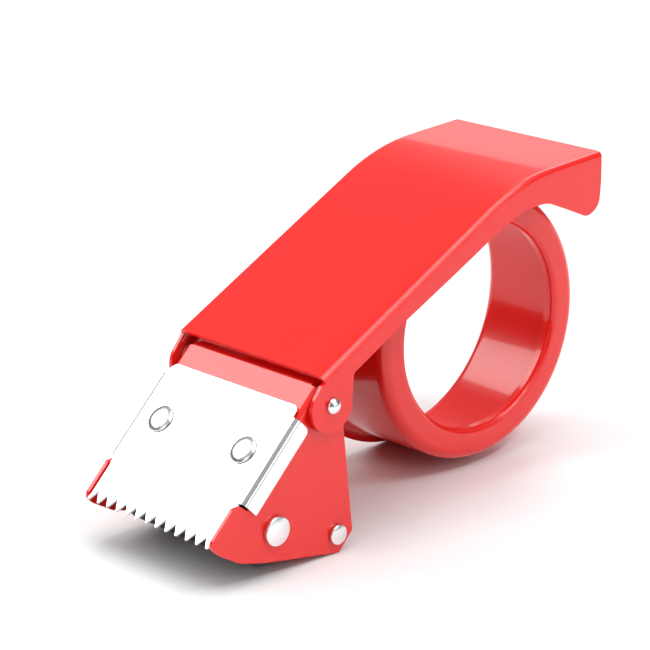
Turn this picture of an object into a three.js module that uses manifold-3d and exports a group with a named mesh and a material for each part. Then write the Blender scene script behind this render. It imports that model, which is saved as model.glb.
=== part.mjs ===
import * as THREE from 'three';
import { mergeVertices } from 'three/addons/utils/BufferGeometryUtils.js';
import Module from 'manifold-3d';

const wasm = await Module();
wasm.setup();

// Millimetres, +Z up. X runs along the dispenser: blade at -X, handle tail at +X.
// -Y is the open side where the tape roll goes on, +Y is the arm side.

// overall frame
const hubX = 35.2;            // hub axis from the middle of the length
const hubZ = 40.6;            // hub axis above the table
const sheet = 1.0;            // thickness of the pressed steel

// head: side plates and sloped front plate
const headHalf = 25.05;       // outer face of each side plate from the middle
const topX = -47.26;          // top front corner of the blade
const topZ = 40.0;
const slopeDeg = 43.9;        // front plate below the horizontal
const frontTop = -9.5;        // top of the front plate, measured down the slope
const frontEnd = 25.0;        // bottom of the front plate
const lipDepth = 3.2;         // lip folded back at its top
const nearLobeRise = 1.65;    // nose lobes above the blade's face
const farLobeRise = 0.5;

// pivots and pins, in X and Z
const pivot = [-37.0, 41.0];
const rollerAt = [-55.1, 12.45];
const tieAt = [-34.3, 5.28];

// hub
const hubR = 37.5;            // fits a 76 mm tape core
const hubNear = -9.6;         // near face of the rolled rim
const hubFar = 23.75;         // back of the far edge
const hubLipR = 28.8;         // inside of the rolled rim
const hubEdgeR = 40.6;        // trimmed far edge
const tabR = 49.5;            // tab towards the head

// handle
const handleHalf = 27.35;     // outer face of the channel walls
const handleBend = 1.4;       // outer radius along its long edges
const crownFrom = 22.0;       // on the near side the top droops from here out to the bend
const crownDrop = 0.9;        // by this much at the front, and not at all past the straight
const handleFront = [-40.2, 49.3];
const handleSlope = 26.8;     // degrees
const handleStraight = 67.8;  // straight length before the curve
const handleCurveR = 60.0;
const handleEndSlope = 3.0;
const handleTailX = 62.7;

// blade
const bladeT = 0.6;
const bladeHalf = 25.95;
const bladeFlange = 5.4;      // depth of the folded flanges
const bladeFlangeTop = 0.3;   // where the folded sides start, down the slope
const bladeEnd = 25.5;        // bottom of the flanges
const toothTip = 39.1;
const toothRoot = 36.0;
const toothPitch = 3.83;
const toothCount = 13;
const bladeTabHalf = 23.9;
const bladeTabTop = -2.9;
const bladeRivetAt = 12.5;     // down the slope
const bladeRivetY = { near: -15.4, far: 16.4 };

// roller
const rollerR = 10.3;
const coreR = 6.0;
const axleR = 3.0;
const rollerHalf = 22.9;

const rad = Math.PI / 180;

// ---------- solids ----------

function solid(geometry) {
  const bare = geometry.clone();
  bare.deleteAttribute('normal');
  bare.deleteAttribute('uv');
  const joined = mergeVertices(bare, 1e-5);
  return new wasm.Manifold(new wasm.Mesh({
    numProp: 3,
    vertProperties: new Float32Array(joined.attributes.position.array),
    triVerts: new Uint32Array(joined.index.array),
  }));
}

function geometryOf(body) {
  const mesh = body.getMesh();
  const geometry = new THREE.BufferGeometry();
  geometry.setAttribute('position', new THREE.BufferAttribute(new Float32Array(mesh.vertProperties), 3));
  geometry.setIndex(new THREE.BufferAttribute(new Uint32Array(mesh.triVerts), 1));
  geometry.computeVertexNormals();
  return geometry;
}

function union(bodies) {
  return bodies.reduce((a, b) => a.add(b));
}

function without(body, cuts) {
  return cuts.reduce((a, b) => a.subtract(b), body);
}

// a closed outline with rounded corners, given as [a, b, radius] points
function outline(points) {
  const out = [];
  const n = points.length;
  for (let i = 0; i < n; i += 1) {
    const p = new THREE.Vector2(points[i][0], points[i][1]);
    const r = points[i][2] || 0;
    if (r === 0) {
      out.push(p);
      continue;
    }
    const a = new THREE.Vector2(points[(i + n - 1) % n][0], points[(i + n - 1) % n][1]).sub(p).normalize();
    const b = new THREE.Vector2(points[(i + 1) % n][0], points[(i + 1) % n][1]).sub(p).normalize();
    const half = Math.acos(THREE.MathUtils.clamp(a.dot(b), -1, 1)) / 2;
    const reach = r / Math.tan(half);
    const centre = a.clone().add(b).normalize().multiplyScalar(r / Math.sin(half)).add(p);
    const from = a.clone().multiplyScalar(reach).add(p).sub(centre).angle();
    let sweep = b.clone().multiplyScalar(reach).add(p).sub(centre).angle() - from;
    if (sweep > Math.PI) {
      sweep -= 2 * Math.PI;
    }
    if (sweep < -Math.PI) {
      sweep += 2 * Math.PI;
    }
    const steps = Math.max(2, Math.ceil(Math.abs(sweep) / (r < 3 ? 0.4 : 0.2)));
    for (let k = 0; k <= steps; k += 1) {
      const t = from + (sweep * k) / steps;
      out.push(new THREE.Vector2(centre.x + r * Math.cos(t), centre.y + r * Math.sin(t)));
    }
  }
  return out;
}

function extruded(points, depth) {
  const shape = new THREE.Shape(points);
  return new THREE.ExtrudeGeometry(shape, { depth, bevelEnabled: false, curveSegments: 1 });
}

// an X-Z outline made solid from y0 to y1
function sideways(points, y0, y1) {
  const geometry = extruded(points, y1 - y0);
  geometry.rotateX(Math.PI / 2);
  geometry.translate(0, y1, 0);
  return solid(geometry);
}

// directions of the sloped front: down the slope, and outwards from it
const down = new THREE.Vector3(-Math.cos(slopeDeg * rad), 0, -Math.sin(slopeDeg * rad));
const outwards = new THREE.Vector3(-Math.sin(slopeDeg * rad), 0, Math.cos(slopeDeg * rad));
const across = new THREE.Vector3(0, 1, 0);
const frontOrigin = new THREE.Vector3(topX, 0, topZ);

// X-Z point at s down the slope and m outwards from the blade's front face
function onSlope(s, m, r = 0) {
  const p = frontOrigin.clone().addScaledVector(down, s).addScaledVector(outwards, m);
  return [p.x, p.z, r];
}

// local axes for pieces that lie on the slope: y across, s down it, m outwards
function ontoSlope(body) {
  return body.transform([
    across.x, across.y, across.z, 0,
    down.x, down.y, down.z, 0,
    outwards.x, outwards.y, outwards.z, 0,
    frontOrigin.x, frontOrigin.y, frontOrigin.z, 1,
  ]);
}

// an outline of [y, s] points, from depth m0 out to m1
function slab(points, m0, m1) {
  const geometry = extruded(points, m1 - m0);
  geometry.translate(0, 0, m0);
  return solid(geometry);
}

// a cross-section of [y, m] points carried down the slope from s0 to s1
function channelDown(points, s0, s1) {
  const geometry = extruded(points, s1 - s0);
  geometry.rotateX(Math.PI / 2);
  geometry.translate(0, s1, 0);
  return solid(geometry);
}

// an outline of [s, m] points carried across from y0 to y1
function acrossSlope(points, y0, y1) {
  const geometry = extruded(points, y1 - y0);
  geometry.rotateX(Math.PI / 2);
  geometry.rotateZ(Math.PI / 2);
  geometry.translate(y0, 0, 0);
  return solid(geometry);
}

// a turned piece about a line along Y: profile of [radius, y] points
function turned(profile, at, segments) {
  const points = profile.map(([r, y]) => new THREE.Vector2(r, y));
  const geometry = new THREE.LatheGeometry(points, segments);
  geometry.translate(at[0], 0, at[1]);
  return solid(geometry);
}

function rod(r, y0, y1, at, segments = 32) {
  return turned([[0, y0], [r, y0], [r, y1], [0, y1]], at, segments);
}

function tube(inner, outer, y0, y1, at, segments = 36) {
  return turned([[inner, y0], [outer, y0], [outer, y1], [inner, y1], [inner, y0]], at, segments);
}

// domed head, flat side at y0, rising by h in direction dir
function dome(r, h, y0, dir, at, segments = 32) {
  const sphere = (r * r + h * h) / (2 * h);
  const top = Math.asin(r / sphere);
  const profile = [[0, y0]];
  for (let i = 0; i <= 5; i += 1) {
    const t = top * (1 - i / 5);
    profile.push([i === 5 ? 0 : sphere * Math.sin(t), y0 + dir * (sphere * Math.cos(t) - sphere + h)]);
  }
  return turned(dir > 0 ? profile : profile.reverse(), at, segments);
}

// button head: a straight rim with a low crown on it
function button(r, rim, rise, y0, dir, at) {
  const a = y0 + dir * rim;
  const disc = rod(r, Math.min(y0, a), Math.max(y0, a), at);
  return disc.add(dome(r, rise, a, dir, at));
}

const group = new THREE.Group();

function piece(name, body, color) {
  const material = new THREE.MeshStandardMaterial({ color, metalness: 0.3, roughness: 0.4 });
  const mesh = new THREE.Mesh(geometryOf(body), material);
  mesh.name = name;
  group.add(mesh);
}

// ---------- head and arm ----------

// front edge, nose lobe and underside of a side plate; the lobe stands proud of the blade by its rise
function headOutline(lobeRise, rear) {
  return outline([
    onSlope(-13.4, -3.2, 0.8),
    onSlope(25.9, -3.2),
    onSlope(26.2, lobeRise - 1.65, 0.5),
    onSlope(28.0, lobeRise, 1.0),
    onSlope(39.15, lobeRise, 2.0),
    [-73.4, 11.0, 2.0],
    [-66.8, 7.0, 6.0],
    [-58.6, 4.7, 12.0],
    [-33.6, -0.05, 0.6],
    [-28.8, 4.8, 0.6],
    ...rear,
  ]);
}

function nearSidePlate() {
  const rear = [
    [-31.3, 33.0],
    [-31.2, 47.0, 3.2],
  ];
  return sideways(headOutline(nearLobeRise, rear), -headHalf, -headHalf + sheet);
}

function farSidePlate() {
  const arm = [
    [-21.5, 9.3, 3.0],
    [-12.0, 12.8, 4.0],
    [-8.3, 13.4, 0.6],
    [-3.9, 18.1],
    [-4.6, 26.0],
    [-6.6, 36.0],
    [-6.2, 47.0],
    [-2.6, 58.0],
    [-9.0, 58.1, 0.6],
    [-13.2, 57.2, 1.0],
    [-31.2, 44.3, 0.8],
    [-32.8, 47.0, 1.2],
  ];
  return sideways(headOutline(farLobeRise, arm), headHalf - sheet, headHalf);
}

function frontPlate() {
  const inner = headHalf - sheet;
  const section = outline([
    [-headHalf, -7.0],
    [-inner, -7.0],
    [-inner, -1.0 - sheet, 0.8],
    [inner, -1.0 - sheet, 0.8],
    [inner, -7.0],
    [headHalf, -7.0],
    [headHalf, -1.0, 1.8],
    [-headHalf, -1.0, 1.8],
  ]);
  const folded = ontoSlope(channelDown(section, frontTop, frontEnd));
  const a = onSlope(frontTop + 0.4, -1.0);
  const b = onSlope(frontTop - 0.2, -1.0);
  const lip = sideways(outline([
    [a[0], a[1]],
    [b[0], b[1], 0.8],
    [b[0] + lipDepth, b[1] + 0.25],
    [b[0] + lipDepth, b[1] + 0.25 - sheet],
    [b[0] + 1.3, b[1] + 0.15 - sheet, 0.3],
    [a[0] + 0.7, a[1] - 0.75],
  ]), -inner + 1.5, inner - 1.5);
  return folded.add(lip);
}

function headHoles() {
  const s = bladeRivetAt;
  const forRivets = Object.values(bladeRivetY).map((side) => {
    const hole = new THREE.CylinderGeometry(1.65, 1.65, 8, 32);
    hole.rotateX(Math.PI / 2);
    hole.applyMatrix4(new THREE.Matrix4().makeBasis(across, down, outwards).setPosition(frontOrigin));
    hole.translate(down.x * s - outwards.x, side, down.z * s - outwards.z);
    return solid(hole);
  });
  return [
    rod(1.7, -30, 30, pivot),
    rod(axleR + 0.15, -30, 30, rollerAt),
    rod(1.75, -30, 30, tieAt),
    ...forRivets,
  ];
}

function headFrame() {
  const body = union([nearSidePlate(), farSidePlate(), frontPlate()]);
  piece('head_frame', without(body, headHoles()), 0xe8281e);
}

// ---------- hub ----------

// quarter arc of [radius, y] points about a centre, from angle a to angle b in degrees
function arc(cr, cy, r, a, b, steps) {
  const out = [];
  for (let i = 0; i <= steps; i += 1) {
    const t = (a + ((b - a) * i) / steps) * rad;
    out.push([cr + r * Math.cos(t), cy + r * Math.sin(t)]);
  }
  return out;
}

function hubCup() {
  const collar = hubNear + 3.4;
  const profile = [
    [hubLipR, collar],
    ...arc(hubLipR + 1.6, hubNear + 1.6, 1.6, 180, 270, 3),
    ...arc(hubR - 3.1, hubNear + 3.1, 3.1, -90, 0, 4),
    ...arc(hubR + 2.4, hubFar - sheet - 2.4, 2.4, 180, 90, 3),
    [hubEdgeR, hubFar - sheet],
    [hubEdgeR, hubFar],
    ...arc(hubR - sheet + 3.4, hubFar - 3.4, 3.4, 90, 180, 3),
    ...arc(hubR - 3.1, hubNear + 3.1, 2.1, 0, -90, 3),
    ...arc(hubLipR + 1.6, hubNear + 1.6, 0.6, 270, 180, 2),
    [hubLipR + sheet, collar],
    [hubLipR, collar],
  ];
  const cup = turned(profile, [hubX, hubZ], 72);
  const edge = [];
  for (let i = 0; i <= 14; i += 1) {
    const t = (155.5 + ((206.5 - 155.5) * i) / 14) * rad;
    edge.push([hubX + tabR * Math.cos(t), hubZ + tabR * Math.sin(t)]);
  }
  for (let i = 0; i <= 14; i += 1) {
    const t = (215.5 - ((215.5 - 146) * i) / 14) * rad;
    edge.push([hubX + 40.2 * Math.cos(t), hubZ + 40.2 * Math.sin(t)]);
  }
  piece('hub_cup', cup.add(sideways(outline(edge), hubFar - sheet, hubFar)), 0xe8281e);
}

// ---------- handle ----------

// points along the outside of the top, each with its slope and its share of the crown
function handlePath() {
  const points = [];
  const a = handleSlope * rad;
  const start = new THREE.Vector2(handleFront[0], handleFront[1]);
  const along = new THREE.Vector2(Math.cos(a), Math.sin(a));
  points.push([start.clone().addScaledVector(along, -14), a, 1]);
  points.push([start.clone(), a, 1]);
  const bend = start.clone().addScaledVector(along, handleStraight);
  const centre = new THREE.Vector2(bend.x + handleCurveR * Math.sin(a), bend.y - handleCurveR * Math.cos(a));
  const end = handleEndSlope * rad;
  for (let i = 0; i <= 12; i += 1) {
    const t = a + ((end - a) * i) / 12;
    const p = new THREE.Vector2(centre.x - handleCurveR * Math.sin(t), centre.y + handleCurveR * Math.cos(t));
    points.push([p, t, 0]);
  }
  const last = points[points.length - 1][0];
  const tail = new THREE.Vector2(Math.cos(end), Math.sin(end));
  points.push([last.clone().addScaledVector(tail, handleTailX + 6 - last.x), end, 0]);
  return points;
}

function crown(y) {
  const t = Math.max(0, (-y - crownFrom) / (handleHalf - crownFrom));
  return crownDrop * t * t;
}

// a closed cross-section of [y, height] points carried along the handle's path
function sweptOnHandle(section) {
  const path = handlePath();
  const n = section.length;
  const positions = [];
  path.forEach(([p, t, share]) => {
    section.forEach(({ x, y }) => {
      const h = y - share * crown(x);
      positions.push(p.x - Math.sin(t) * h, x, p.y + Math.cos(t) * h);
    });
  });
  const index = [];
  for (let i = 0; i + 1 < path.length; i += 1) {
    for (let k = 0; k < n; k += 1) {
      const a = i * n + k;
      const b = i * n + ((k + 1) % n);
      index.push(a, b, a + n);
      index.push(b, b + n, a + n);
    }
  }
  const caps = THREE.ShapeUtils.triangulateShape(section, []);
  const far = (path.length - 1) * n;
  caps.forEach(([a, b, c]) => {
    index.push(a, c, b);
    index.push(far + a, far + b, far + c);
  });
  const geometry = new THREE.BufferGeometry();
  geometry.setAttribute('position', new THREE.Float32BufferAttribute(positions, 3));
  geometry.setIndex(index);
  return solid(geometry);
}

function handle() {
  const inner = handleHalf - sheet;
  const steps = [25.0, 24.0, 23.0, crownFrom];
  const section = outline([
    [-handleHalf, -24],
    [-inner, -24],
    [-inner, -sheet, handleBend - sheet],
    ...steps.map((y) => [-y, -sheet]),
    [inner, -sheet, handleBend - sheet],
    [inner, -24],
    [handleHalf, -24],
    [handleHalf, 0, handleBend],
    ...steps.toReversed().map((y) => [-y, 0]),
    [-handleHalf, 0, handleBend],
  ]);
  const side = outline([
    [handleFront[0] - 0.9, handleFront[1] + 1.8],
    [handleFront[0] + 0.55, handleFront[1] - 1.1],
    [handleFront[0] - 1.6, handleFront[1] - 2.6, 0.5],
    [-46.1, 40.15, 6.4],
    [-37.9, 31.35, 6.8],
    [-30.7, 37.2, 5.4],
    [-29.6, 47.7, 1.2],
    [-12.2, 56.6],
    [8.0, 66.1],
    [19.3, 71.6],
    [27.0, 75.0],
    [33.0, 76.9, 8.0],
    [41.2, 77.4, 12.0],
    [52.0, 72.6],
    [57.3, 70.1, 4.0],
    [62.0, 72.4, 4.0],
    [handleTailX, 79.0, 5.0],
    [handleTailX - 0.2, 96.0],
    [-20.0, 96.0],
  ]);
  const channel = sweptOnHandle(section).intersect(sideways(side, -40, 40));
  piece('handle', without(channel, [rod(1.7, -40, 40, pivot)]), 0xf03025);
}

// ---------- blade ----------

function cutterBlade() {
  const inner = bladeHalf - bladeT;
  const section = outline([
    [-bladeHalf, -bladeFlange],
    [-inner, -bladeFlange],
    [-inner, -bladeT, 1.0],
    [inner, -bladeT, 1.0],
    [inner, -bladeFlange],
    [bladeHalf, -bladeFlange],
    [bladeHalf, 0, 1.6],
    [-bladeHalf, 0, 1.6],
  ]);
  const flangeSide = outline([
    [bladeFlangeTop, 1.0],
    [bladeFlangeTop, -bladeFlange, 1.6],
    [bladeEnd, -bladeFlange, 0.4],
    [bladeEnd, 1.0],
  ]);
  const folded = channelDown(section, -1, bladeEnd + 1).intersect(acrossSlope(flangeSide, -40, 40));
  const h = bladeTabHalf;
  const tab = slab(outline([
    [-h, 4], [-h, bladeTabTop, 1.6], [h, bladeTabTop, 1.6], [h, 4],
  ]), -bladeT, 0);
  const edge = 23.8;
  const teeth = [[-edge, bladeEnd - 4], [-edge, toothRoot + 0.4]];
  for (let i = toothCount - 1; i >= 0; i -= 1) {
    const y = edge - 0.2 - toothPitch * i;
    teeth.push([y - 0.15, toothTip]);
    teeth.push([y + 0.15, toothTip]);
    if (i > 0) {
      teeth.push([y + toothPitch / 2, toothRoot]);
    }
  }
  teeth.push([edge, toothTip - 0.4], [edge, bladeEnd - 4]);
  const lower = slab(outline(teeth), -bladeT, 0);
  const s = bladeRivetAt;
  const holes = Object.values(bladeRivetY).map((side) => {
    const ring = [];
    for (let i = 0; i < 32; i += 1) {
      const t = (i / 32) * 2 * Math.PI;
      ring.push([side + 1.65 * Math.cos(t), s + 1.65 * Math.sin(t)]);
    }
    return slab(outline(ring), -3, 2);
  });
  piece('cutter_blade', ontoSlope(without(union([folded, tab, lower]), holes)), 0xc9ccd0);
}

// rivet through blade and front plate: low round head outside, small head inside
function bladeRivet(side) {
  const profile = [
    [0, -3.0], [1.9, -3.0], [2.5, -2.7], [2.6, -2.15], [1.5, -2.15], [1.5, 0.15],
    [3.9, 0.15], [3.9, 0.45], [3.6, 0.75], [3.0, 0.9], [0, 1.0],
  ].map(([r, m]) => new THREE.Vector2(r, m));
  const geometry = new THREE.LatheGeometry(profile, 28);
  geometry.rotateX(Math.PI / 2);
  geometry.applyMatrix4(new THREE.Matrix4().makeBasis(across, down, outwards).setPosition(frontOrigin));
  const s = bladeRivetAt;
  geometry.translate(down.x * s, bladeRivetY[side], down.z * s);
  piece(`blade_rivet_${side}`, solid(geometry), 0xb9bcc1);
}

// ---------- roller and tie pin ----------

function rollerSet() {
  const out = headHalf + 0.15;
  piece('roller_axle', union([
    rod(axleR, -out - 0.3, out + 0.3, rollerAt),
    button(3.85, 1.2, 0.6, -out, -1, rollerAt),
    button(3.85, 1.2, 0.6, out, 1, rollerAt),
  ]), 0xc4c7cb);
  piece('roller_core', tube(axleR + 0.08, coreR, -rollerHalf, rollerHalf, rollerAt), 0xd8d4c8);
  const edge = rollerHalf - 0.4;
  piece('roller_tyre', turned([
    [coreR + 0.1, -edge], [rollerR - 0.5, -edge], [rollerR, -edge + 0.5],
    [rollerR, edge - 0.5], [rollerR - 0.5, edge], [coreR + 0.1, edge], [coreR + 0.1, -edge],
  ], rollerAt, 48), 0x1c1c1d);
  const inner = headHalf - sheet;
  piece('roller_washer_near', tube(axleR + 0.15, 5.4, -inner + 0.15, -rollerHalf - 0.3, rollerAt), 0xbfc2c6);
  piece('roller_washer_far', tube(axleR + 0.15, 5.4, rollerHalf + 0.3, inner - 0.15, rollerAt), 0xbfc2c6);
}

function tieSet() {
  const out = headHalf + 0.15;
  const half = 22.6;
  const inner = headHalf - sheet;
  piece('tie_pin', union([
    rod(1.6, -out - 0.3, out + 0.3, tieAt),
    button(2.65, 0.9, 0.5, -out, -1, tieAt),
    button(2.65, 0.9, 0.5, out, 1, tieAt),
  ]), 0xc4c7cb);
  piece('guide_sleeve', tube(1.68, 3.0, -half, half, tieAt), 0xc8cbcf);
  piece('guide_washer_near', tube(1.75, 3.0, -inner + 0.15, -half - 0.3, tieAt), 0xbfc2c6);
  piece('guide_washer_far', tube(1.75, 3.0, half + 0.3, inner - 0.15, tieAt), 0xbfc2c6);
}

// ---------- handle pivots ----------

function pivotRivet(name, dir) {
  const inside = headHalf - sheet;
  const shank = rod(1.6, Math.min(dir * (inside - 1.4), dir * (handleHalf + 0.4)),
    Math.max(dir * (inside - 1.4), dir * (handleHalf + 0.4)), pivot);
  piece(name, union([
    shank,
    button(2.1, 0.5, 1.2, dir * (handleHalf + 0.15), dir, pivot),
    dome(2.2, 0.7, dir * (inside - 1.15), -dir, pivot),
  ]), 0xc4c7cb);
}

function pivotSet(side, dir) {
  pivotRivet(`handle_rivet_${side}`, dir);
  const a = dir * (headHalf + 0.3);
  const b = dir * (handleHalf - sheet - 0.3);
  piece(`handle_washer_${side}`, tube(1.68, 4.2, Math.min(a, b), Math.max(a, b), pivot), 0xbfc2c6);
  const c = dir * (headHalf - sheet - 0.15);
  const d = dir * (headHalf - sheet - 1.0);
  piece(`rivet_burr_${side}`, tube(1.68, 3.2, Math.min(c, d), Math.max(c, d), pivot), 0xbfc2c6);
}

headFrame();
hubCup();
handle();
cutterBlade();
bladeRivet('near');
bladeRivet('far');
rollerSet();
tieSet();
pivotSet('near', -1);
pivotSet('far', 1);

export default group;
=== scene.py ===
import bpy
import bmesh
import math
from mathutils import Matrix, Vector


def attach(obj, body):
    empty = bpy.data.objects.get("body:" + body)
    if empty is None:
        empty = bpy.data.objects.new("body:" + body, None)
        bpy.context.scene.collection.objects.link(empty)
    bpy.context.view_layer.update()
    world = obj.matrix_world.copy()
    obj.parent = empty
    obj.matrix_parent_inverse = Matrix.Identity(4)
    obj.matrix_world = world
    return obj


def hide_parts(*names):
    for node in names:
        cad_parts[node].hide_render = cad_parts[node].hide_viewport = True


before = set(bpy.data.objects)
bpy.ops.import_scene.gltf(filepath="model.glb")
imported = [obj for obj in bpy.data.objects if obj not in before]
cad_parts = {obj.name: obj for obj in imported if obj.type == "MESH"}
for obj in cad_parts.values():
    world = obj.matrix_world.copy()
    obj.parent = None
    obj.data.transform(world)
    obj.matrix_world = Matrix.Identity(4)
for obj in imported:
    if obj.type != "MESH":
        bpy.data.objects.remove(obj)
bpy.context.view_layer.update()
print("frame loaded:", len(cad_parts), "nodes")

mm = 0.001      # lengths below are in mm unless a note says otherwise


camera = {
    "place": (-453.6, -473.35, 262.1),
    "turn": (71.85, 0.925, -43.2),         # degrees
    "lens": 145.2, "sensor": 36.0,
    "clip": (0.01, 50.0),                  # metres
}

# soft boxes, with places and sizes in metres
studio = {
    "overhead": {"at": (0.0, -0.12, 1.45), "aim": (0, 0, 0.04), "size": (1.3, 0.9), "watts": 12.5},
    "behind": {"at": (1.15, 1.15, 0.6), "aim": (0.05, 0.1, 0.04), "size": (1.3, 0.32), "watts": 1.15},
    "leftBack": {"at": (-0.72, 1.05, 1.05), "aim": (-0.03, 0, 0.04), "size": (0.85, 0.8), "watts": 10.5},
    "front": {"at": (0.35, -1.7, 0.75), "aim": (0, 0, 0.04), "size": (1.5, 1.0), "watts": 7.8},
    "left": {"at": (-1.6, -0.25, 0.7), "aim": (-0.03, 0, 0.04), "size": (1.0, 0.9), "watts": 3.2},
    "edge": {"at": (0.12, -0.85, 1.2), "aim": (0, 0, 0.05), "size": (0.9, 0.14), "watts": 6.5},
    "backdrop": {"at": (1.5, 0.9, 1.6), "aim": (1.3, 0.8, 0), "size": (1.2, 0.8), "watts": 12.0},
}


def makeCamera():
    data = bpy.data.cameras.new("camera")
    data.lens = camera["lens"]
    data.sensor_width = camera["sensor"]
    data.clip_start, data.clip_end = camera["clip"]
    data.dof.use_dof = False
    cam = bpy.data.objects.new("camera", data)
    cam.location = Vector(camera["place"]) * mm
    cam.rotation_euler = [math.radians(a) for a in camera["turn"]]
    bpy.context.scene.collection.objects.link(cam)
    bpy.context.scene.camera = cam


def makeSoftbox(name, box):
    data = bpy.data.lights.new(name, "AREA")
    data.shape = "RECTANGLE"
    data.size, data.size_y = box["size"]
    data.energy = box["watts"]
    light = bpy.data.objects.new(name, data)
    light.location = box["at"]
    aim = Vector(box["aim"]) - Vector(box["at"])
    light.rotation_euler = aim.to_track_quat("-Z", "Y").to_euler()
    bpy.context.scene.collection.objects.link(light)


sky = {"low": 0.05, "high": 0.7, "dark": 0.03, "bright": 0.42}     # grey, brighter towards the top


def makeWorld():
    world = bpy.data.worlds.new("studio")
    bpy.context.scene.world = world
    world.use_nodes = True
    nodes, links = world.node_tree.nodes, world.node_tree.links
    nodes.clear()
    coords = nodes.new("ShaderNodeTexCoord")
    split = nodes.new("ShaderNodeSeparateXYZ")
    ramp = nodes.new("ShaderNodeValToRGB")
    for element, place, grey in zip(ramp.color_ramp.elements, ("low", "high"), ("dark", "bright")):
        element.position = sky[place]
        element.color = (sky[grey], sky[grey], sky[grey], 1)
    background = nodes.new("ShaderNodeBackground")
    out = nodes.new("ShaderNodeOutputWorld")
    links.new(coords.outputs["Generated"], split.inputs[0])
    links.new(split.outputs["Z"], ramp.inputs[0])
    links.new(ramp.outputs[0], background.inputs["Color"])
    links.new(background.outputs[0], out.inputs["Surface"])


floorLook = {
    "radius": 6.0,            # metres
    "dark": (0.81, 0.825, 0.83, 1), "light": (0.84, 0.85, 0.855, 1),
    "roughness": 0.6, "specular": 0.1, "cloud": 3.0,
}


def makeFloor():
    bm = bmesh.new()
    bmesh.ops.create_circle(bm, cap_ends=True, radius=floorLook["radius"], segments=64)
    mesh = bpy.data.meshes.new("floor")
    bm.to_mesh(mesh)
    bm.free()
    floor = bpy.data.objects.new("floor", mesh)
    bpy.context.scene.collection.objects.link(floor)
    paint = bpy.data.materials.new("floorWhite")
    paint.use_nodes = True
    nodes, links = paint.node_tree.nodes, paint.node_tree.links
    shader = nodes["Principled BSDF"]
    shader.inputs["Roughness"].default_value = floorLook["roughness"]
    shader.inputs["Specular IOR Level"].default_value = floorLook["specular"]
    coords = nodes.new("ShaderNodeTexCoord")
    cloud = nodes.new("ShaderNodeTexNoise")
    cloud.inputs["Scale"].default_value = floorLook["cloud"]
    tint = nodes.new("ShaderNodeValToRGB")
    tint.color_ramp.elements[0].color = floorLook["dark"]
    tint.color_ramp.elements[1].color = floorLook["light"]
    links.new(coords.outputs["Object"], cloud.inputs["Vector"])
    links.new(cloud.outputs["Fac"], tint.inputs["Fac"])
    links.new(tint.outputs["Color"], shader.inputs["Base Color"])
    mesh.materials.append(paint)


makeCamera()
makeWorld()
for boxName, box in studio.items():
    makeSoftbox(boxName, box)
makeFloor()
bpy.context.scene.view_settings.view_transform = "Standard"
print("camera, light and floor ready")


def noiseField(nodes, links, look):
    coords = nodes.new("ShaderNodeTexCoord")
    noise = nodes.new("ShaderNodeTexNoise")
    noise.inputs["Scale"].default_value = look["grain"]
    noise.inputs["Detail"].default_value = look["detail"]
    mapping = nodes.new("ShaderNodeMapping")
    mapping.inputs["Scale"].default_value = look.get("stretch", (1, 1, 1))
    links.new(coords.outputs["Object"], mapping.inputs["Vector"])
    links.new(mapping.outputs["Vector"], noise.inputs["Vector"])
    return noise.outputs["Fac"]


def rampFrom(nodes, links, source, low, high):
    ramp = nodes.new("ShaderNodeValToRGB")
    for element, place, colour in zip(ramp.color_ramp.elements, (0.2, 0.8), (low, high)):
        element.position = place
        element.color = (*colour, 1)
    links.new(source, ramp.inputs["Fac"])
    return ramp.outputs["Color"]


bumpHeight = 0.1 * mm


def mottled(name, look):
    # one noise field steers the colour, the gloss and a fine bump
    finish = bpy.data.materials.new(name)
    finish.use_nodes = True
    nodes, links = finish.node_tree.nodes, finish.node_tree.links
    shader = nodes["Principled BSDF"]
    field = noiseField(nodes, links, look)
    links.new(rampFrom(nodes, links, field, look["dark"], look["light"]), shader.inputs["Base Color"])
    smooth, rough = look["roughness"]
    links.new(rampFrom(nodes, links, field, (smooth,) * 3, (rough,) * 3), shader.inputs["Roughness"])
    bump = nodes.new("ShaderNodeBump")
    bump.inputs["Strength"].default_value = look["bump"]
    bump.inputs["Distance"].default_value = bumpHeight
    links.new(field, bump.inputs["Height"])
    links.new(bump.outputs["Normal"], shader.inputs["Normal"])
    shader.inputs["Metallic"].default_value = look.get("metallic", 0.0)
    return finish, shader


enamelLook = {
    "dark": (0.76, 0.011, 0.008), "light": (0.82, 0.013, 0.010), "roughness": (0.22, 0.27),
    "grain": 38.0, "detail": 4.0, "bump": 0.06, "specular": 0.4, "coat": 0.45, "coatRoughness": 0.05,
}


def redEnamel():
    finish, shader = mottled("redEnamel", enamelLook)
    shader.inputs["Specular IOR Level"].default_value = enamelLook["specular"]
    shader.inputs["Coat Weight"].default_value = enamelLook["coat"]
    shader.inputs["Coat Roughness"].default_value = enamelLook["coatRoughness"]
    return finish


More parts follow.
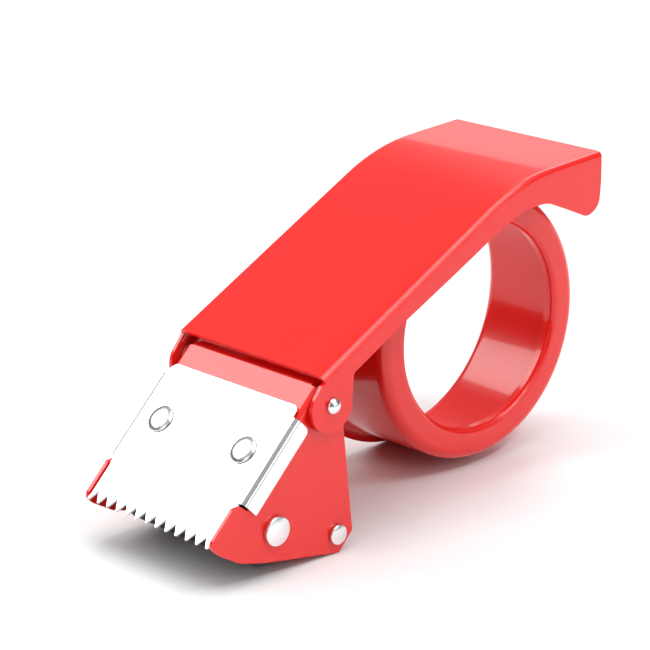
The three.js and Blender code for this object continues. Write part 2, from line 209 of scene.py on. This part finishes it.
nickelLook = {
    "dark": (0.78, 0.78, 0.79), "light": (0.90, 0.90, 0.90), "roughness": (0.1, 0.18),
    "grain": 60.0, "detail": 5.0, "stretch": (1, 14, 1), "bump": 0.02, "metallic": 1.0,
}
rivetLook = {
    "dark": (0.78, 0.78, 0.79), "light": (0.93, 0.93, 0.93), "roughness": (0.2, 0.3),
    "grain": 220.0, "detail": 5.0, "bump": 0.08, "metallic": 1.0,
}
zincLook = {
    "dark": (0.42, 0.43, 0.44), "light": (0.62, 0.63, 0.64), "roughness": (0.32, 0.5),
    "grain": 300.0, "detail": 6.0, "bump": 0.1, "metallic": 1.0,
}
rubberLook = {
    "dark": (0.012, 0.012, 0.013), "light": (0.03, 0.03, 0.032), "roughness": (0.5, 0.72),
    "grain": 900.0, "detail": 4.0, "bump": 0.3,
}
plasticLook = {
    "dark": (0.55, 0.53, 0.47), "light": (0.68, 0.66, 0.60), "roughness": (0.4, 0.55),
    "grain": 150.0, "detail": 3.0, "bump": 0.15,
}

finishes = {
    "red_paint": redEnamel(),
    "nickel": mottled("brightNickel", nickelLook)[0],
    "rivet_steel": mottled("rivetSteel", rivetLook)[0],
    "zinc": mottled("satinZinc", zincLook)[0],
    "rubber": mottled("rollerRubber", rubberLook)[0],
    "core_plastic": mottled("corePlastic", plasticLook)[0],
}
print("finishes ready:", len(finishes))


slope = {"corner": (-47.26, 40.0), "degrees": 43.9}
slopeAngle = math.radians(slope["degrees"])
slopeDown = Vector((-math.cos(slopeAngle), 0, -math.sin(slopeAngle)))
slopeOut = Vector((-math.sin(slopeAngle), 0, math.cos(slopeAngle)))
slopeCorner = Vector((slope["corner"][0], 0, slope["corner"][1]))


def slopePoint(y, s, m):
    # y across, s down the sloped front, m outwards from the blade's face
    return slopeCorner + slopeDown * s + slopeOut * m + Vector((0, y, 0))


def onSlope(s, m, r=0.0):
    p = slopePoint(0, s, m)
    return (p.x, p.z, r)


def roundedOutline(points, step=0.12):
    # corners given as (a, b, radius); returns a closed list of (a, b)
    out = []
    count = len(points)
    for i, corner in enumerate(points):
        p = Vector(corner[:2])
        r = corner[2] if len(corner) > 2 else 0
        if r == 0:
            out.append((p.x, p.y))
            continue
        a = (Vector(points[i - 1][:2]) - p).normalized()
        b = (Vector(points[(i + 1) % count][:2]) - p).normalized()
        half = a.angle(b) / 2
        reach = r / math.tan(half)
        centre = p + (a + b).normalized() * (r / math.sin(half))
        start, end = p + a * reach - centre, p + b * reach - centre
        t0 = math.atan2(start.y, start.x)
        sweep = math.atan2(end.y, end.x) - t0
        sweep = (sweep + math.pi) % (2 * math.pi) - math.pi
        steps = max(3, math.ceil(abs(sweep) / step))
        for k in range(steps + 1):
            t = t0 + sweep * k / steps
            out.append((centre.x + r * math.cos(t), centre.y + r * math.sin(t)))
    return out


def ring(at, r, count=40):
    return [(at[0] + r * math.cos(2 * math.pi * k / count), at[1] + r * math.sin(2 * math.pi * k / count))
            for k in range(count)]


def fillFlat(bm, outer, holes, place):
    # a flat face between an outline and its holes; place turns (a, b) into a point in mm
    edges = []
    for loop in [outer, *holes]:
        verts = [bm.verts.new(place(a, b) * mm) for a, b in loop]
        for k, v in enumerate(verts):
            edges.append(bm.edges.new((v, verts[(k + 1) % len(verts)])))
    bmesh.ops.triangle_fill(bm, use_beauty=True, use_dissolve=False, edges=edges)


def gridFaces(bm, rows):
    # quads between rows of points in mm
    made = [[bm.verts.new(p * mm) for p in row] for row in rows]
    for a, b in zip(made, made[1:]):
        for k in range(len(a) - 1):
            bm.faces.new((a[k], a[k + 1], b[k + 1], b[k]))


def finishPiece(name, bm, body, slotName, replaced=(), sheet=0.0, edge=0.0, segments=3, sharp=32.0):
    mesh = bpy.data.meshes.new(name)
    bm.to_mesh(mesh)
    bm.free()
    piece = bpy.data.objects.new(name, mesh)
    bpy.context.scene.collection.objects.link(piece)
    if sheet:
        thick = piece.modifiers.new("sheet", "SOLIDIFY")
        thick.thickness = sheet * mm
        thick.offset = 0
        thick.use_even_offset = True
    if edge:
        soft = piece.modifiers.new("edge", "BEVEL")
        soft.width = edge * mm
        soft.segments = segments
        soft.limit_method = "ANGLE"
        soft.angle_limit = math.radians(40)
        soft.miter_outer = "MITER_ARC"
        soft.use_clamp_overlap = True
    even = piece.modifiers.new("even", "WEIGHTED_NORMAL")
    even.keep_sharp = True
    for polygon in mesh.polygons:
        polygon.use_smooth = True
    applyAll(piece, sharp)
    piece.data.materials.clear()
    piece.data.materials.append(finishes[slotName])
    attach(piece, body)
    if replaced:
        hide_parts(*replaced)
    print("made", name, len(piece.data.polygons), "faces")


def applyAll(piece, sharp):
    bpy.context.view_layer.objects.active = piece
    for other in bpy.context.selected_objects:
        other.select_set(False)
    piece.select_set(True)
    for modifier in list(piece.modifiers):
        if modifier.type == "WEIGHTED_NORMAL":
            piece.data.set_sharp_from_angle(angle=math.radians(sharp))
        bpy.ops.object.modifier_apply(modifier=modifier.name)


def weld(bm, distance=0.0005):
    bmesh.ops.remove_doubles(bm, verts=bm.verts, dist=distance * mm)
    bmesh.ops.recalc_face_normals(bm, faces=bm.faces)


head = {
    "half": 24.55,            # middle of each side plate's thickness
    "sheet": 1.0,
    "bend": 1.3,
    "face": -1.5,             # middle of the front plate, in from the blade's face
    "top": -9.5, "end": 25.0,
    "lip": 3.2, "lipHalf": 22.6,
    "pivot": (-37.0, 41.0), "roller": (-55.1, 12.45), "tie": (-34.3, 5.28),
    "holes": {"pivot": 1.7, "roller": 3.15, "tie": 1.75},
    "rivets": {"down": 12.5, "across": (-15.4, 16.4), "hole": 1.65},
    "nose": (25.9, 26.2, 28.0, 39.09),    # where the side plates come forward and end, down the slope
    "lobe": {"near": 1.65, "far": 0.5},   # nose lobes above the blade's face
}
# corners of the side plates in X and Z with their radii: the shared foot, then each plate's rear
headFoot = [
    (-73.4, 11.0, 2.0), (-66.8, 7.0, 6.0), (-58.6, 4.7, 12.0), (-33.6, -0.05, 0.6), (-28.8, 4.8, 0.6),
]
nearRear = [(-31.3, 33.0, 0), (-31.2, 47.0, 3.2)]
farRear = [
    (-21.5, 9.3, 3.0), (-12.0, 12.8, 4.0), (-8.3, 13.4, 0.6), (-3.9, 18.1, 0), (-4.6, 26.0, 0),
    (-6.6, 36.0, 0), (-6.2, 47.0, 0), (-2.6, 58.0, 0), (-9.0, 58.1, 0.6), (-13.2, 57.2, 1.0),
    (-31.2, 44.3, 0.8), (-32.8, 47.0, 1.2),
]


def headSidePlate(bm, y, rise, rear):
    bendLine = head["face"] - head["bend"]
    start, step, full, tip = head["nose"]
    outline = roundedOutline([
        onSlope(head["top"], bendLine), onSlope(head["end"], bendLine), onSlope(start, bendLine),
        onSlope(step, rise - 1.65, 0.5), onSlope(full, rise, 1.0), onSlope(tip, rise, 2.0), *headFoot,
        *rear, onSlope(-13.4, -3.2, 0.8),
    ])
    holes = [ring(head[pin], r) for pin, r in head["holes"].items()]
    fillFlat(bm, outline, holes, lambda x, z: Vector((x, y, z)))


def headFrontPlate(bm):
    r, half, face = head["bend"], head["half"], head["face"]
    flat = half - r
    for side in (-1, 1):
        rows = []
        for k in range(9):
            t = math.radians(90 * k / 8)
            y = side * (flat + r * math.sin(t))
            m = face - r * (1 - math.cos(t))
            rows.append([slopePoint(y, head["top"], m), slopePoint(y, head["end"], m)])
        gridFaces(bm, rows)
    rivets, lip = head["rivets"], head["lipHalf"]
    outline = [(-flat, head["top"]), (-lip, head["top"]), (lip, head["top"]), (flat, head["top"]),
               (flat, head["end"]), (-flat, head["end"])]
    fillFlat(bm, outline, [ring((y, rivets["down"]), rivets["hole"]) for y in rivets["across"]],
             lambda a, b: slopePoint(a, b, face))
    # lip folded back along the top
    turn = math.radians(slope["degrees"] + 2)
    radius = 0.9
    rows = []
    for k in range(7):
        t = turn * k / 6
        s = head["top"] - radius * math.sin(t)
        m = face - radius * (1 - math.cos(t))
        rows.append([slopePoint(-lip, s, m), slopePoint(lip, s, m)])
    away = -slopeDown * math.cos(turn) - slopeOut * math.sin(turn)
    rows.append([p + away * (head["lip"] - 0.6) for p in rows[-1]])
    gridFaces(bm, rows)


def makeHead():
    bm = bmesh.new()
    headSidePlate(bm, -head["half"], head["lobe"]["near"], nearRear)
    headSidePlate(bm, head["half"], head["lobe"]["far"], farRear)
    headFrontPlate(bm)
    weld(bm)
    finishPiece("headShell", bm, "frame", "red_paint", ["head_frame"], sheet=head["sheet"], edge=0.22)


hub = {
    "at": (35.2, 40.6), "near": -9.6, "far": 23.75, "r": 37.5, "lip": 28.8, "edge": 40.6,
    "sheet": 1.0, "corner": 3.1, "flare": 2.9, "rimBend": 1.1, "collar": 3.4,
    "tab": 49.5, "tabFrom": 145.5, "tabTo": 215.5, "tabRise": 8.5,     # the last three in degrees
    "segments": 240,
}


def hubEdge(t):
    # radius of the trimmed far edge at an angle in degrees: a tab on the head's side
    if t < hub["tabFrom"] or t > hub["tabTo"]:
        return hub["edge"]
    up = min(1, (t - hub["tabFrom"]) / hub["tabRise"], (hub["tabTo"] - t) / hub["tabRise"])
    return hub["edge"] + (hub["tab"] - hub["edge"]) * min(1, up * 1.05)


def hubProfile():
    # middle of the sheet, from the collar's end to the foot of the flare, as (radius, y)
    h = hub["sheet"] / 2
    outer, lipR = hub["r"] - h, hub["lip"] + h
    near, far = hub["near"] + h, hub["far"] - h
    points = [(lipR, hub["near"] + hub["collar"])]
    a = hub["rimBend"]
    for k in range(7):
        t = math.radians(180 + 90 * k / 6)
        points.append((lipR + a + a * math.cos(t), near + a + a * math.sin(t)))
    b = hub["corner"] - h
    for k in range(11):
        t = math.radians(-90 + 90 * k / 10)
        points.append((outer - b + b * math.cos(t), near + b + b * math.sin(t)))
    c = hub["flare"]
    for k in range(9):
        t = math.radians(180 - 90 * k / 8)
        points.append((outer + c + c * math.cos(t), far - c + c * math.sin(t)))
    return points


def makeHub():
    bm = bmesh.new()
    profile = hubProfile()
    count = hub["segments"]
    foot = profile[-1][0]
    rows = []
    for k in range(count + 1):
        degrees = 360 * k / count
        t = math.radians(degrees)
        edge = max(hubEdge(degrees), foot + 0.2)
        outwards = [(foot + (edge - foot) * j / 3, hub["far"] - hub["sheet"] / 2) for j in (1, 2, 3)]
        rows.append([Vector((hub["at"][0] + r * math.cos(t), y, hub["at"][1] + r * math.sin(t)))
                     for r, y in profile + outwards])
    gridFaces(bm, rows)
    weld(bm, 0.002)
    finishPiece("hubCup", bm, "frame", "red_paint", ["hub_cup"], sheet=hub["sheet"], edge=0.3, sharp=50)


handle = {
    "front": (-40.2, 49.3), "degrees": 26.8, "straight": 67.8, "curve": 60.0, "endDegrees": 3.0,
    "tailX": 62.7, "half": 26.85, "bend": 0.9, "sheet": 1.0,
    "crownFrom": 21.5, "crownDrop": 0.9,      # the near side of the top droops at the front
    "pivot": (-37.0, 41.0), "pivotHole": 1.7, "frontEdge": (-40.5, 46.9),
    "stations": 46,
}
# the wall's outline from its front edge round the ear and back to the tail
handleLower = [
    (-46.1, 40.15, 6.4), (-37.9, 31.35, 6.8), (-30.7, 37.2, 5.4), (-29.6, 47.7, 1.2), (-12.2, 56.6, 40.0),
    (8.0, 66.1, 0), (19.3, 71.6, 30.0), (27.0, 75.0, 25.0), (33.0, 76.9, 8.0), (41.2, 77.4, 12.0),
    (52.0, 72.6, 0), (57.3, 70.1, 4.0), (61.85, 72.4, 4.0), (62.55, 79.0, 5.0),
]


def handlePath(s):
    # point and direction on the outer top surface, s along it from the front edge
    a = math.radians(handle["degrees"])
    start = Vector((handle["front"][0], 0, handle["front"][1]))
    along = Vector((math.cos(a), 0, math.sin(a)))
    if s <= handle["straight"]:
        return start + along * s, a
    bend = start + along * handle["straight"]
    r = handle["curve"]
    centre = bend + Vector((math.sin(a), 0, -math.cos(a))) * r
    end = math.radians(handle["endDegrees"])
    t = a - (s - handle["straight"]) / r
    if t >= end:
        return centre + Vector((-math.sin(t), 0, math.cos(t))) * r, t
    last = centre + Vector((-math.sin(end), 0, math.cos(end))) * r
    spare = s - handle["straight"] - (a - end) * r
    return last + Vector((math.cos(end), 0, math.sin(end))) * spare, end


def handlePoint(s, depth, y):
    p, t = handlePath(s)
    reach = max(0.0, (-y - handle["crownFrom"]) / (handle["half"] + 0.5 - handle["crownFrom"]))
    share = max(0.0, 1 - s / handle["straight"])
    depth += handle["crownDrop"] * share * min(1.0, reach) ** 2
    return p + Vector((math.sin(t), 0, -math.cos(t))) * depth + Vector((0, y, 0))


def handleLength():
    # how far along the path the tail's end lies
    s = 0.0
    while handlePath(s)[0].x < handle["tailX"] - 0.15:
        s += 0.01
    return s


def makeHandle():
    bm = bmesh.new()
    length = handleLength()
    mid, bend = handle["sheet"] / 2, handle["bend"]
    flat = handle["half"] - bend
    stations = [length * k / handle["stations"] for k in range(handle["stations"] + 1)]
    rise = [handle["crownFrom"] + (flat - handle["crownFrom"]) * k / 4 for k in range(5)]
    across = [-y for y in reversed(rise)] + [-7, 7] + rise
    gridFaces(bm, [[handlePoint(s, mid, y) for y in across] for s in stations])
    for side in (-1, 1):
        turns = [math.radians(90 * k / 6) for k in range(7)]
        gridFaces(bm, [[handlePoint(s, mid + bend * (1 - math.cos(t)), side * (flat + bend * math.sin(t)))
                        for t in turns] for s in stations])
        edge = [handlePoint(s, mid + bend, side * handle["half"]) for s in reversed(stations)]
        outline = [(p.x, p.z) for p in edge]
        outline += roundedOutline([outline[-1], (*handle["frontEdge"], 0.6), *handleLower, outline[0]])[1:-1]
        fillFlat(bm, outline, [ring(handle["pivot"], handle["pivotHole"])],
                 lambda x, z, y=side * handle["half"]: Vector((x, y, z)))
    weld(bm, 0.02)
    finishPiece("handleShell", bm, "handle", "red_paint", ["handle"], sheet=handle["sheet"], edge=0.2)


blade = {
    "sheet": 0.6, "half": 25.65, "bend": 1.3,
    "flange": 5.4, "flangeTop": 0.3, "end": 25.5,
    "tabHalf": 23.9, "tabTop": -2.9, "width": 23.8, "tip": 39.1, "root": 36.0,
    "pitch": 3.83, "teeth": 13, "firstTip": 23.6,
}


def bladeOutline():
    flat = blade["half"] - blade["bend"]
    h, w = blade["tabHalf"], blade["width"]
    top = blade["flangeTop"]
    points = [(flat, top, 0), (h, top, 0), (h, blade["tabTop"], 1.6), (-h, blade["tabTop"], 1.6),
              (-h, top, 0), (-flat, top, 0),
              (-flat, blade["end"], 0), (-w, blade["end"], 0), (-w, blade["root"] + 0.4, 0)]
    for i in range(blade["teeth"] - 1, -1, -1):
        y = blade["firstTip"] - blade["pitch"] * i
        points += [(y - 0.12, blade["tip"], 0), (y + 0.12, blade["tip"], 0)]
        if i > 0:
            points.append((y + blade["pitch"] / 2, blade["root"], 0))
    points += [(w, blade["tip"] - 0.4, 0), (w, blade["end"], 0), (flat, blade["end"], 0)]
    return roundedOutline(points)


def makeBlade():
    bm = bmesh.new()
    mid, r = -blade["sheet"] / 2, blade["bend"]
    flat = blade["half"] - r
    rivets = head["rivets"]
    fillFlat(bm, bladeOutline(), [ring((y, rivets["down"]), rivets["hole"]) for y in rivets["across"]],
             lambda a, b: slopePoint(a, b, mid))
    for side in (-1, 1):
        rows = []
        for k in range(9):
            t = math.radians(90 * k / 8)
            y, m = side * (flat + r * math.sin(t)), mid - r * (1 - math.cos(t))
            rows.append([slopePoint(y, blade["flangeTop"], m), slopePoint(y, blade["end"], m)])
        gridFaces(bm, rows)
        top, end = blade["flangeTop"], blade["end"]
        fillFlat(bm, roundedOutline([(top, mid - r, 0), (top, -blade["flange"], 1.6),
                                     (end, -blade["flange"], 0.4), (end, mid - r, 0)]), [],
                 lambda a, b, wall=side * blade["half"]: slopePoint(wall, a, b))
    weld(bm)
    finishPiece("bladeSheet", bm, "frame", "nickel", ["cutter_blade"],
                sheet=blade["sheet"], edge=0.12, segments=2)


def turnedPiece(name, profile, at, body, slotName, replaced=(), segments=64, edge=0.0, place=None):
    # profile of (radius, y) from axis to axis, or a closed ring when its first and last points are the same
    bm = bmesh.new()
    closed = profile[0] == profile[-1]
    points = profile[:-1] if closed else profile
    place = place or (lambda r, y, t: Vector((at[0] + r * math.cos(t), y, at[1] + r * math.sin(t))))
    rows = []
    for k in range(segments):
        t = 2 * math.pi * k / segments
        rows.append([bm.verts.new(place(r, y, t) * mm) for r, y in points])
    for k in range(segments):
        a, b = rows[k], rows[(k + 1) % segments]
        for j in range(len(points) if closed else len(points) - 1):
            n = (j + 1) % len(points)
            bm.faces.new((a[j], a[n], b[n], b[j]))
    bmesh.ops.remove_doubles(bm, verts=bm.verts, dist=1e-7)
    bmesh.ops.dissolve_degenerate(bm, dist=1e-7, edges=bm.edges)
    bmesh.ops.recalc_face_normals(bm, faces=bm.faces)
    finishPiece(name, bm, body, slotName, replaced, edge=edge, segments=2, sharp=40)


def domeProfile(r, h, y, way, rim=0.0, steps=14):
    # from the foot of a head's straight rim to the middle of its crown, standing on the plane y
    sphere = (r * r + h * h) / (2 * h)
    top = math.asin(r / sphere)
    foot = [(r, y)] if rim else []
    angles = [top * (1 - k / steps) for k in range(steps + 1)]
    crown = [(sphere * math.sin(t), y + way * (rim + h - sphere * (1 - math.cos(t)))) for t in angles]
    return foot + crown


pins = {
    "outer": 25.2,            # underside of the heads from the middle
    "axle": {"r": 3.0, "head": 3.85, "rim": 1.2, "rise": 0.6},
    "tie": {"r": 1.6, "head": 2.65, "rim": 0.9, "rise": 0.5},
    "pivot": {"r": 1.6, "head": 2.1, "rim": 0.5, "rise": 1.2, "outer": 27.5,
              "inner": 22.9, "tail": (2.2, 0.7)},      # radius and rise of the head inside
}


def headedPin(name, size, at, body, replaced):
    far = domeProfile(size["head"], size["rise"], pins["outer"], 1, size["rim"])
    near = domeProfile(size["head"], size["rise"], -pins["outer"], -1, size["rim"])
    profile = list(reversed(near)) + [(size["r"], -pins["outer"]), (size["r"], pins["outer"])] + far
    turnedPiece(name, profile, at, body, "rivet_steel", replaced, edge=0.15)


def makePins():
    headedPin("rollerAxle", pins["axle"], head["roller"], "frame", ["roller_axle"])
    headedPin("tiePin", pins["tie"], head["tie"], "frame", ["tie_pin"])


roller = {"half": 22.9, "core": 6.0, "bore": 3.08, "tyre": 10.3, "skin": 6.1}


def makeRoller():
    half, at = roller["half"], head["roller"]
    turnedPiece("rollerCore", [(roller["bore"], -half), (roller["core"], -half), (roller["core"], half),
                               (roller["bore"], half), (roller["bore"], -half)], at, "roller", "core_plastic",
                ["roller_core"], edge=0.2)
    edge, r = half - 0.4, roller["tyre"]
    turnedPiece("rollerTyre", [(roller["skin"], -edge), (r, -edge), (r, edge), (roller["skin"], edge),
                               (roller["skin"], -edge)], at, "roller", "rubber", ["roller_tyre"],
                segments=96, edge=0.6)


# radius and height above the blade's face, from the closed end inside to the crown
bladeRivet = [
    (0, -3.0), (1.9, -3.0), (2.5, -2.7), (2.6, -2.15), (1.5, -2.15), (1.5, 0.15), (3.9, 0.15),
    (3.88, 0.27), (3.7, 0.45), (3.35, 0.64), (2.9, 0.8), (2.3, 0.92), (1.6, 0.98), (0, 1.0),
]


def makeBladeRivets():
    down = head["rivets"]["down"]
    for name, y in zip(("near", "far"), head["rivets"]["across"]):
        def place(r, m, t, y=y):
            return slopePoint(y + r * math.cos(t), down + r * math.sin(t), m)
        turnedPiece("bladeRivet." + name, bladeRivet, None, "frame", "rivet_steel", ["blade_rivet_" + name],
                    place=place, edge=0.1)


def makePivotRivets():
    size = pins["pivot"]
    for name, way in (("near", -1), ("far", 1)):
        outer, inner = way * size["outer"], way * size["inner"]
        outside = domeProfile(size["head"], size["rise"], outer, way, size["rim"])
        inside = domeProfile(*size["tail"], inner, -way)
        profile = list(reversed(inside)) + [(size["r"], inner), (size["r"], outer)] + outside
        turnedPiece("pivotRivet." + name, profile, handle["pivot"], "frame", "rivet_steel",
                    ["handle_rivet_" + name], edge=0.12)


zincParts = [
    "roller_washer_near", "roller_washer_far", "guide_sleeve", "guide_washer_near", "guide_washer_far",
    "handle_washer_near", "handle_washer_far", "rivet_burr_near", "rivet_burr_far",
]


def dressSmallParts():
    # washers, burrs and the guide sleeve keep their own shapes
    for node in zincParts:
        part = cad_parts[node]
        part.data.materials.clear()
        part.data.materials.append(finishes["zinc"])


makeHead()
makeHub()
makeHandle()
makeBlade()
makePins()
makeRoller()
makeBladeRivets()
makePivotRivets()
dressSmallParts()
print("small parts dressed:", len(zincParts))
